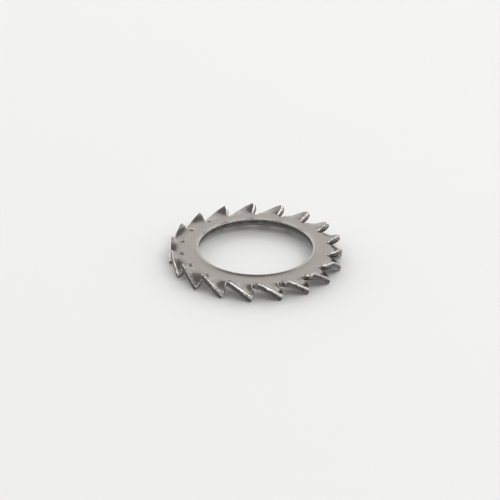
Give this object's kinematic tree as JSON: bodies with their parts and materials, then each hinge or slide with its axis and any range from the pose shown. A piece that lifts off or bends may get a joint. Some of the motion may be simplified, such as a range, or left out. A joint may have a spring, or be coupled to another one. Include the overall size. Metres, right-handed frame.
{
  "type": "external toothed lock washer",
  "caption": "Round flat spring-steel lock washer with a plain bore and twisted, fan-like locking teeth all round its outer edge.",
  "frame": {"origin": "on the axis of the bore, on the surface that the lowest tooth corners stand on", "axes": "+Z along the axis of the bore, up out of the side with the raised punched rim; +X along the middle line of one tooth"},
  "size_m": [0.0258, 0.026, 0.0031],
  "materials": {
    "bright_steel": "bright, tumbled, with rounded sheared edges"
  },
  "bodies": {
    "root": {"lock_washer": "bright_steel"}
  },
  "joints": []
}
